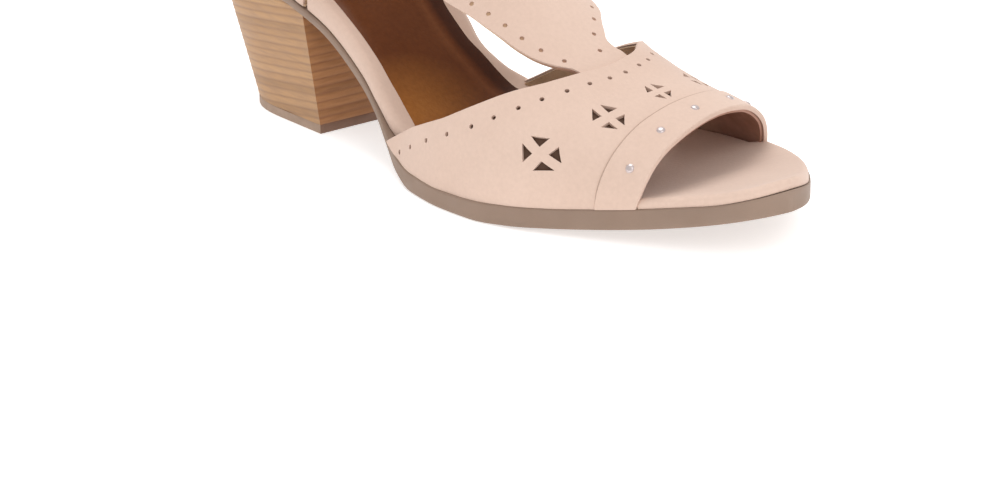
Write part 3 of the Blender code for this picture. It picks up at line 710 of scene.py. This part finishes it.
# Painted highlight and painted shade on the medial side of the hollow: a lighter streak where it turns up,
# then darker on its rising wall.
painted_streak_and_shade = ramp(sock_leather, marked(sock_leather, "rise"), (0.40, (1.0, 1.0, 1.0)),
            (0.56, (1.3, 1.45, 1.7)), (0.66, (0.9, 0.85, 0.8)), (0.76, (0.45, 0.40, 0.42)))
sock_colour = blend(sock_leather, 1.0, sock_colour, painted_streak_and_shade, "MULTIPLY")
grain = noise(sock_leather, 700.0, 4.0)
grain_tone = ramp(sock_leather, grain, (0.3, (0.75, 0.72, 0.7)), (0.7, (1.0, 1.0, 1.0)))
paint(sock_leather, "Base Color", blend(sock_leather, 0.6, sock_colour, grain_tone, "MULTIPLY"))
paint(sock_leather, "Roughness", level(sock_leather, noise(sock_leather, 60.0), 0.36, 0.52))
relief(sock_leather, grain, 0.05)
relief(sock_leather, pores(sock_leather, 1300.0), 0.025)
rings, rises = [], []
for x in np.linspace(SOCK_BACK, SOCK_FRONT, 150):
    outer, inner = footbed_edges(x)
    middle, flat_half = (outer + inner) / 2, (inner - outer) / 2 - BED_ROUND
    inset = smooth(x, SOCK_INSET[:, 0], SOCK_INSET[:, 1])
    rounded = min(1.0, np.sqrt(max(0.02, (x - SOCK_HEEL_END) / SOCK_HEEL_ROUND)))
    reach = ((medial(x) - lateral(x)) / 2 - inset) * rounded
    under, over = [], []
    across = np.sin(np.linspace(-np.pi / 2, np.pi / 2, 41))
    for t in across:
        y = (lateral(x) + medial(x)) / 2 + reach * t
        z = footbed_top(x, (y - middle) / flat_half)
        under.append((x, y, z - SOCK_SUNK))
        over.append((x, y, z + SOCK_PROUD + (SOCK_THICKNESS + JOINT) * (1 - np.abs(t) ** 10)))
    rings.append(under + over[-2:0:-1])
    rises += list(across) + list(across[-2:0:-1])
sock = skin("sock", rings)
mark(sock, "rise", rises)
fit("sock", sock, sock_leather, "brown_leather", "insole_sock")

# Vamp. Pale nubuck over a brown lining, lasted from side to side: a row of punched dots follows its back
# edge, and crosses of four triangles are cut through to the lining. A few soft folds cross the ball.
ROW_PITCH = 15.0
ANGLE_PITCH = 0.7
LEATHER = 1.1
LINING_GAP = 0.03
LINING_SETBACK = 0.02
LINING_TURN = (25.0, 50.0)
# Painted shade: the lining's face under the nubuck, seen through the cut crosses, is darkened for the
# shadow in the holes.
HOLE_SHADE_TONE = (0.10, 0.055, 0.036, 1.0)
VAMP_UNDER_RIM = 0.25
LINING_UNDER_RIM = 0.35
SETTLE_FROM = 70.0
SETTLE_TO_ROW = SEAM_ROW - 0.8
SETTLE_OUT = 0.5
SETTLE_DOWN = SEAT_GAP + 0.15
KNIFE_HALF = 6.0
MOTIF_TIP = 0.21
MOTIF_BASE = 0.5
MOTIF_HALF = 0.27
DOT_RADIUS = 0.72
MOTIFS = np.array([
    # section  angle   length  width  turn   slant
    [2.75,     -62.1,  11.4,    9.6,   -9.0, -22.0],
    [2.31,     -30.8,   9.3,    8.4,  -13.0, -29.0],
    [2.38,      -3.2,   7.2,    6.8,  -30.0, -45.0],
    [2.70,      22.0,   7.6,    7.2,  -30.0, -42.0],
    [3.10,      44.0,   9.0,    8.0,  -20.0, -30.0],
    [3.50,      68.0,  11.0,    9.0,  -14.0, -22.0],
])
FOLDS = np.array([
    # section  angle  half width  half reach  depth
    [4.30,     -84.0,  0.30,       22.0,       0.30],
    [3.60,     -80.0,  0.28,       26.0,       0.26],
    [4.50,      82.0,  0.30,       24.0,       0.28],
])
VAMP_DOT_ANGLES = (-88.3, -84.0, -78.5, -71.5, -63.0, -54.5, -45.0, -36.0, -26.5, -17.5, -9.5, -2.5, 4.0,
                   11.0, 19.0, 28.0, 37.0, 46.0, 55.0, 63.5, 71.5, 78.5, 84.0)
DOT_SETBACK = np.array([
    # angle  sections in front of the topline
    [0.0,    0.34],
    [27.0,   0.40],
    [45.0,   0.49],
    [72.0,   0.51],
    [79.0,   0.51],
    [84.0,   0.40],
    [90.0,   0.27],
])


def flat(s, angle, depth):
    """Pattern point laid flat on the cutting table."""
    return np.stack(np.broadcast_arrays(s * ROW_PITCH, angle * ANGLE_PITCH, depth), axis=-1) * MM


def lines(count, edge):
    """Shares from 0 to 1, closer together near both ends for the rounded edges."""
    near = np.array([0.0, 0.25, 0.6]) * edge
    return np.concatenate([near, np.linspace(edge, 1 - edge, count), (1 - near)[::-1]])


def edge_drop(distance, radius):
    """How far a rounded edge falls at a distance from the border."""
    inside = np.clip(1 - distance / radius, 0, 1)
    return radius * (1 - np.sqrt(1 - inside**2))


def sheet(name, s, angle, low, high, rounding=(0.3, 0.3, 0.3, 0.3)):
    """Flat sheet over a grid of sections and angles; rounding is at the first and last row and column."""
    s, angle = np.broadcast_arrays(s, angle)
    points = on_last(s, angle)
    step = np.linalg.norm(np.diff(points, axis=0), axis=2)
    down = np.vstack([np.zeros(s.shape[1]), np.cumsum(step, axis=0)])
    step = np.linalg.norm(np.diff(points, axis=1), axis=2)
    over = np.hstack([np.zeros((s.shape[0], 1)), np.cumsum(step, axis=1)])
    borders = (down, down[-1:] - down, over, over[:, -1:] - over)
    drops = [edge_drop(d, r) for d, r in zip(borders, rounding) if r]
    top = high - np.maximum.reduce(np.broadcast_arrays(*drops))
    n, m = s.shape
    verts = np.concatenate([flat(s, angle, depth).reshape(-1, 3) for depth in (low, top)])
    faces = []
    for i in range(n - 1):
        for j in range(m - 1):
            a = i * m + j
            faces.append((a, a + 1, a + m + 1, a + m))
            faces.append((a + n * m, a + m + n * m, a + m + 1 + n * m, a + 1 + n * m))
    border = list(range(m)) + [i * m + m - 1 for i in range(1, n)]
    border += [(n - 1) * m + j for j in range(m - 2, -1, -1)] + [i * m for i in range(n - 2, 0, -1)]
    faces += [(b, a, a + n * m, b + n * m) for a, b in zip(border, border[1:] + border[:1])]
    mesh = bpy.data.meshes.new(name)
    mesh.from_pydata(verts.tolist(), [], faces)
    return mesh


def beside(s, angle, forward, sideways):
    """Pattern point some millimetres from another, measured on the leather."""
    by_row, by_angle = slopes(np.float64(s), np.float64(angle))
    length = np.linalg.norm(by_row)
    skew = np.dot(by_angle, by_row) / length
    turn = sideways / np.sqrt(np.dot(by_angle, by_angle) - skew**2)
    return s + (forward - turn * skew) / length, angle + turn


def round_hole(s, angle, radius):
    turns = np.linspace(0, 2 * np.pi, 15)[:-1]
    return [beside(s, angle, radius * np.cos(t), radius * np.sin(t)) for t in turns]


def cross_holes(s, angle, length, width, turn, slant):
    """Four triangles that point at the middle of a cross."""
    holes = []
    turn, slant = np.radians((turn, slant))
    for c, d in ((1, 0), (0, 1), (-1, 0), (0, -1)):
        hole = []
        for along, side in ((MOTIF_TIP, 0), (MOTIF_BASE, MOTIF_HALF), (MOTIF_BASE, -MOTIF_HALF)):
            u = length * (along * c - side * d)
            v = width * (along * d + side * c)
            forward = u * np.cos(turn) - v * np.sin(slant)
            sideways = u * np.sin(turn) + v * np.cos(slant)
            hole.append(beside(s, angle, forward, sideways))
        holes.append(hole)
    return holes


def punch(mesh, holes):
    """Cuts holes through a flat sheet."""
    cutter = bmesh.new()
    for hole in holes:
        cutter.faces.new([cutter.verts.new(flat(s, a, -KNIFE_HALF)) for s, a in hole])
    raised = bmesh.ops.extrude_face_region(cutter, geom=cutter.faces[:])["geom"]
    raised = [v for v in raised if isinstance(v, bmesh.types.BMVert)]
    bmesh.ops.translate(cutter, verts=raised, vec=(0, 0, 2 * KNIFE_HALF * MM))
    bmesh.ops.recalc_face_normals(cutter, faces=cutter.faces)
    knife_mesh = bpy.data.meshes.new("knife")
    cutter.to_mesh(knife_mesh)
    cutter.free()
    knife = bpy.data.objects.new("knife", knife_mesh)
    blank = bpy.data.objects.new("blank", mesh)
    for obj in (knife, blank):
        bpy.context.scene.collection.objects.link(obj)
    cut = blank.modifiers.new("cut", "BOOLEAN")
    cut.object = knife
    cut.solver = "EXACT"
    graph = bpy.context.evaluated_depsgraph_get()
    result = bpy.data.meshes.new_from_object(blank.evaluated_get(graph))
    for obj in (knife, blank):
        bpy.data.objects.remove(obj, do_unlink=True)
    return result


def folds(s, angle):
    """Depth of the soft folds of the worn-in leather."""
    depth = np.zeros_like(s)
    for row, centre, half, reach, deep in FOLDS:
        depth -= deep * np.exp(-((s - row) / half) ** 2) * np.exp(-((angle - centre) / reach) ** 2)
    return depth


def wrap(mesh, creased=False):
    """Lays a flat pattern on the last."""
    work = bmesh.new()
    work.from_mesh(mesh)
    bmesh.ops.triangulate(work, faces=[f for f in work.faces if len(f.verts) > 4])
    work.to_mesh(mesh)
    work.free()
    co = np.empty(len(mesh.vertices) * 3)
    mesh.vertices.foreach_get("co", co)
    co = co.reshape(-1, 3) * 1000
    s, angle, depth = co[:, 0] / ROW_PITCH, np.round(co[:, 1] / ANGLE_PITCH, 3), co[:, 2]
    if creased:
        depth = depth + folds(s, angle)
    points = on_last(s, angle) + last_normal(s, angle) * depth[:, None]
    settle = np.clip((np.abs(angle) - SETTLE_FROM) / (90 - SETTLE_FROM), 0, 1) ** 2 * (s < SETTLE_TO_ROW)
    points[:, 1] += np.sign(angle) * SETTLE_OUT * settle
    points[:, 2] -= SETTLE_DOWN * settle
    mesh.vertices.foreach_set("co", place(points).ravel())
    mesh.update()
    return mesh


brown_lining = surface("brown_lining", (0.4, 0.21, 0.15), 0.7, Specular_IOR_Level=0.25)
mottle = noise(brown_lining, 200.0, 5.0)
toe_side = ramp(brown_lining, mottle, (0.3, (0.36, 0.19, 0.135)), (0.7, (0.46, 0.255, 0.19)))
# Painted light: behind the ball the lining is lighter and yellower, for the light that falls on it between
# strap and vamp.
lit_ankle_side = ramp(brown_lining, mottle, (0.3, (0.54, 0.37, 0.235)), (0.7, (0.64, 0.445, 0.29)))
forward = coordinate(brown_lining, node(brown_lining, "TexCoord").outputs["Object"], 0)
forward = node(brown_lining, "MapRange", Value=forward, _1=LINING_TURN[0] * MM,
               _2=LINING_TURN[1] * MM).outputs[0]
brown = blend(brown_lining, forward, lit_ankle_side, toe_side)
paint(brown_lining, "Base Color", blend(brown_lining, marked(brown_lining, "hole_shade"), brown, HOLE_SHADE_TONE))
relief(brown_lining, noise(brown_lining, 1500.0, 3.0), 0.05)

share = lines(64, 0.012)[:, None]
angle = np.linspace(-90, 90, 133)[None, :]
rim_edge, topline = vamp_line(angle, 3), vamp_line(angle, 1)
front = rim_edge + VAMP_UNDER_RIM
section = front + (topline - front) * share
vamp = sheet("vamp", section, angle, -LEATHER, 0.0, (0.0, 0.35, 0.0, 0.0))
dots = [round_hole(vamp_line(a, 1) - smooth(abs(a), DOT_SETBACK[:, 0], DOT_SETBACK[:, 1]), a, DOT_RADIUS)
        for a in VAMP_DOT_ANGLES]
crosses = [hole for row in MOTIFS for hole in cross_holes(*row)]
fit("vamp_leather", wrap(punch(vamp, dots + crosses), True), nubuck, "nude_leather", "upper")
front = rim_edge + LINING_UNDER_RIM
section = front + (topline - LINING_SETBACK - front) * lines(44, 0.02)[:, None]
lining = sheet("vamp_lining", section, angle, -WALL, -LEATHER - LINING_GAP)
# The face towards the nubuck gets the painted shade seen through the holes.
mark(lining, "hole_shade", np.repeat([0.0, 1.0], section.size))
fit("vamp_lining", wrap(lining, True), brown_lining, "brown_leather")

# Strap and ankle cuff. One panel of nubuck with its lining, sewn under the back of the vamp, rising over
# the instep and widening to the side seams. The lining shows as a dark line along the cut edges, and
# punched dots follow them.
STRAP_DROP = 0.7
STRAP_LEATHER = 0.55
STRAP_START = 3.3
STRAP_BLEND = 1.2
TUCK = 0.12
PLY_GAP = 0.02
CUFF_LINING_DROP = 0.15
STRAP_DOT_STEP = 6.6
STRAP_DOTS_END = 9.0
STRAP_DOTS = (
    # column  inset  first section
    (1,       3.9,   4.0),
    (2,      -5.2,   4.08),
)
STRAP = np.array([
    # section  lateral  medial
    [2.60,     -13.0,    6.0],
    [3.60,     -15.2,    6.0],
    [3.88,     -19.0,    5.2],
    [4.12,     -21.6,    5.4],
    [4.54,     -25.0,   10.2],
    [4.80,     -26.7,   15.0],
    [5.16,     -28.4,   24.0],
    [5.50,     -30.4,   30.0],
    [5.80,     -32.5,   33.5],
    [6.50,     -39.8,   39.5],
    [7.40,     -48.0,   47.0],
    [8.20,     -58.0,   57.0],
    [8.80,     -68.0,   67.0],
    [9.20,     -77.0,   76.0],
    [9.50,     -87.0,   86.0],
    [9.60,     -97.0,   97.0],
    [13.20,    -97.0,   97.0],
])


def strap_line(s, column):
    return smooth(s, STRAP[:, 0], STRAP[:, column])


# Rows of the panel, closest together where it widens to the side seams.
row = np.concatenate([STRAP_START + np.array([0, 0.02, 0.05]), np.linspace(STRAP_START + 0.1, 9.2, 84),
                      np.linspace(9.24, 9.6, 14), np.linspace(9.68, 12.9, 36),
                      np.array([12.95, 12.98, COLLAR_ROW])])[:, None]
angle = strap_line(row, 1) + (strap_line(row, 2) - strap_line(row, 1)) * lines(70, 0.02)[None, :]
fade = np.clip((row - STRAP_START) / STRAP_BLEND, 0, 1)
section = row + (vamp_line(angle, 1) - TUCK - STRAP_START) * (1 - fade * fade * (3 - 2 * fade))
panel = sheet("cuff", section, angle, -STRAP_DROP - STRAP_LEATHER, -STRAP_DROP, (0.0, 0.4, 0.25, 0.25))
strap_dots = []
for column, inset, s in STRAP_DOTS:
    while s < STRAP_DOTS_END:
        here = beside(s, float(strap_line(s, column)), 0.0, inset)
        strap_dots.append(round_hole(*here, DOT_RADIUS))
        s += STRAP_DOT_STEP / np.linalg.norm(slopes(np.float64(s), np.float64(here[1]))[0])
fit("cuff_leather", wrap(punch(panel, strap_dots)), nubuck, "nude_leather")
lining = sheet("cuff_lining", section, angle, -WALL - CUFF_LINING_DROP,
               -STRAP_DROP - STRAP_LEATHER - PLY_GAP)
fit("cuff_lining", wrap(lining), brown_lining, "brown_leather")

# Heel counter. The back of the upper, nubuck over lining, from side seam to side seam round the heel.
# It laps over the cuff at the seams and is pulled in under the foot along the seat.
COUNTER_FROM = 90.0
COUNTER_TO = 270.0
COUNTER_LEATHER = 1.0
COUNTER_PROUD = 0.1
angle = (COUNTER_FROM + (COUNTER_TO - COUNTER_FROM) * lines(110, 0.008))[None, :]
seat = np.array([seat_row(a) for a in angle[0]])[None, :]
section = seat + (COLLAR_ROW - seat) * lines(56, 0.012)[:, None]
counter = sheet("counter", section, angle, -COUNTER_LEATHER, COUNTER_PROUD, (0.0, 0.4, 0.35, 0.35))
fit("counter_leather", wrap(counter), nubuck, "nude_leather")
lining = sheet("counter_lining", section, angle, -WALL + COUNTER_PROUD, -COUNTER_LEATHER - PLY_GAP)
fit("counter_lining", wrap(lining), brown_lining, "brown_leather")

# Toe rim. A folded band of nubuck sewn along the peep opening: it stands over the vamp, with a soft fold
# in front and a cut edge behind.
RIM_STEP = 0.5
RIM_FOLD = 1.05
RIM_AHEAD = 0.03
RIM_LINING_BACK = 0.04
angle = np.linspace(-89.8, 89.8, 133)[None, :]
front = vamp_line(angle, 3) - RIM_AHEAD
section = front + (vamp_line(angle, 2) - front) * lines(22, 0.05)[:, None]
rim = sheet("rim", section, angle, -RIM_FOLD, RIM_STEP, (0.5, 0.2, 0.0, 0.0))
fit("toe_rim", wrap(rim), nubuck, "nude_leather")
lining = sheet("rim_lining", section + RIM_LINING_BACK, angle, -WALL, -RIM_FOLD - PLY_GAP)
fit("rim_lining", wrap(lining), brown_lining, "brown_leather")

# Studs. Small domes of pale metal with a flat flange round the foot, pressed from sheet and riveted
# through the middle of the toe rim.
STUD_RADIUS = 1.6
STUD_HEIGHT = 0.9
STUD_SUNK = 0.3
STUD_BACK = 0.47
STUD_ANGLES = (-61.5, -28.0, -2.5, 22.0, 50.0, 72.0)
stud_metal = surface("stud_metal", (0.58, 0.50, 0.49), 0.38, Metallic=0.7)
paint(stud_metal, "Roughness", level(stud_metal, noise(stud_metal, 1500.0), 0.26, 0.42))
profile = [(1.0, 0.0), (1.0, 0.12), (0.97, 0.2), (0.86, 0.24), (0.8, 0.32)]
profile += [(0.76 * np.cos(a), 0.36 + 0.64 * np.sin(a)) for a in np.radians(np.linspace(0, 84, 8))]
turns = np.linspace(0, 2 * np.pi, 29)[:-1]
for number, angle in enumerate(STUD_ANGLES, start=1):
    row = float(STUD_BACK * vamp_line(angle, 2) + (1 - STUD_BACK) * vamp_line(angle, 3))
    normal = last_normal(row, angle)
    side = np.cross(normal, (0.0, 0.0, 1.0))
    side /= np.linalg.norm(side)
    other = np.cross(normal, side)
    foot = on_last(row, angle) + normal * (RIM_STEP - STUD_SUNK)
    rings = [[foot + (side * np.cos(t) + other * np.sin(t)) * STUD_RADIUS * out + normal * STUD_HEIGHT * up
              for t in turns] for out, up in profile]
    name = "stud_dome_%d" % number
    fit(name, skin(name, rings), stud_metal, "stud_metal", "stud_%d" % number)

# Seam. The back edge of the toe rim is cut raw and sewn down on the vamp. A thin darker tube along it is
# painted shade: it stands for the shadow under the rim's step and shows as one fine darker line.
EDGE_RADIUS = 0.24
EDGE_BACK = 0.01
EDGE_UP = 0.12
seam_shadow_line = surface("seam_shadow_line", (0.45, 0.32, 0.25), 0.8)
relief(seam_shadow_line, noise(seam_shadow_line, 900.0), 0.05)
angle = np.linspace(-89.5, 89.5, 240)
normal = last_normal(vamp_line(angle, 2), angle)
path = on_last(vamp_line(angle, 2) + EDGE_BACK, angle) + normal * EDGE_UP
ahead = np.gradient(path, axis=0)
across = np.cross(ahead, normal)
across /= np.linalg.norm(across, axis=1, keepdims=True)
rings = [[p + (a * np.cos(t) + n * np.sin(t)) * EDGE_RADIUS for t in np.linspace(0, 2 * np.pi, 9)[:-1]]
         for p, a, n in zip(path, across, normal)]
fit("rim_seam_shadow", skin("rim_seam_shadow", rings), seam_shadow_line, "nude_leather")

# Floor, light and camera. A white sweep under soft light, seen from in front of the outer side and above,
# so close that the top of the boot leaves the picture.
FLOOR_HALF = 6.0
LIT_PLACE = (0.05, 0.0, 0.02)
floor_mesh = bpy.data.meshes.new("floor")
floor_mesh.from_pydata([(-FLOOR_HALF, -FLOOR_HALF, 0), (FLOOR_HALF, -FLOOR_HALF, 0),
                        (FLOOR_HALF, FLOOR_HALF, 0), (-FLOOR_HALF, FLOOR_HALF, 0)], [], [(0, 1, 2, 3)])
floor = bpy.data.objects.new("floor", floor_mesh)
bpy.context.scene.collection.objects.link(floor)
white = surface("floor_white", (0.9, 0.9, 0.9), 0.9, Emission_Color=(1.0, 1.0, 1.0, 1.0),
                Emission_Strength=0.55)
floor.data.materials.append(white)

world = bpy.data.worlds.new("studio")
bpy.context.scene.world = world
world.use_nodes = True
world.node_tree.nodes["Background"].inputs["Color"].default_value = (1.0, 1.0, 1.0, 1.0)
world.node_tree.nodes["Background"].inputs["Strength"].default_value = 0.75


def softbox(name, position, target, size, power):
    light = bpy.data.lights.new(name, "AREA")
    light.shape = "SQUARE"
    light.size = size
    light.energy = power
    lamp = bpy.data.objects.new(name, light)
    lamp.location = position
    lamp.rotation_euler = (Vector(target) - Vector(position)).to_track_quat("-Z", "Y").to_euler()
    bpy.context.scene.collection.objects.link(lamp)


softbox("key", (1.15, -0.25, 0.95), LIT_PLACE, 0.9, 4.5)
softbox("top", (-0.4, 0.2, 1.5), LIT_PLACE, 1.0, 12.5)
bpy.context.scene.view_settings.view_transform = "Standard"

AZIMUTH = np.radians(50.88)
ELEVATION = np.radians(16.09)
DISTANCE = 1088.0
TARGET = np.array([-10.0, 101.3, 0.0])
right = np.array([np.cos(AZIMUTH), np.sin(AZIMUTH), 0.0])
view = np.array([-np.sin(AZIMUTH) * np.cos(ELEVATION), np.cos(AZIMUTH) * np.cos(ELEVATION),
                 -np.sin(ELEVATION)])
camera = bpy.data.objects.new("camera", bpy.data.cameras.new("camera"))
camera.data.sensor_width = 36.0
camera.data.lens = 111.204
camera.data.shift_y = -0.25
camera.matrix_world = Matrix.Translation(Vector(place(TARGET - view * DISTANCE))) @ Matrix(
    np.column_stack([right, np.cross(right, view), -view]).tolist()).to_4x4()
bpy.context.scene.collection.objects.link(camera)
bpy.context.scene.camera = camera
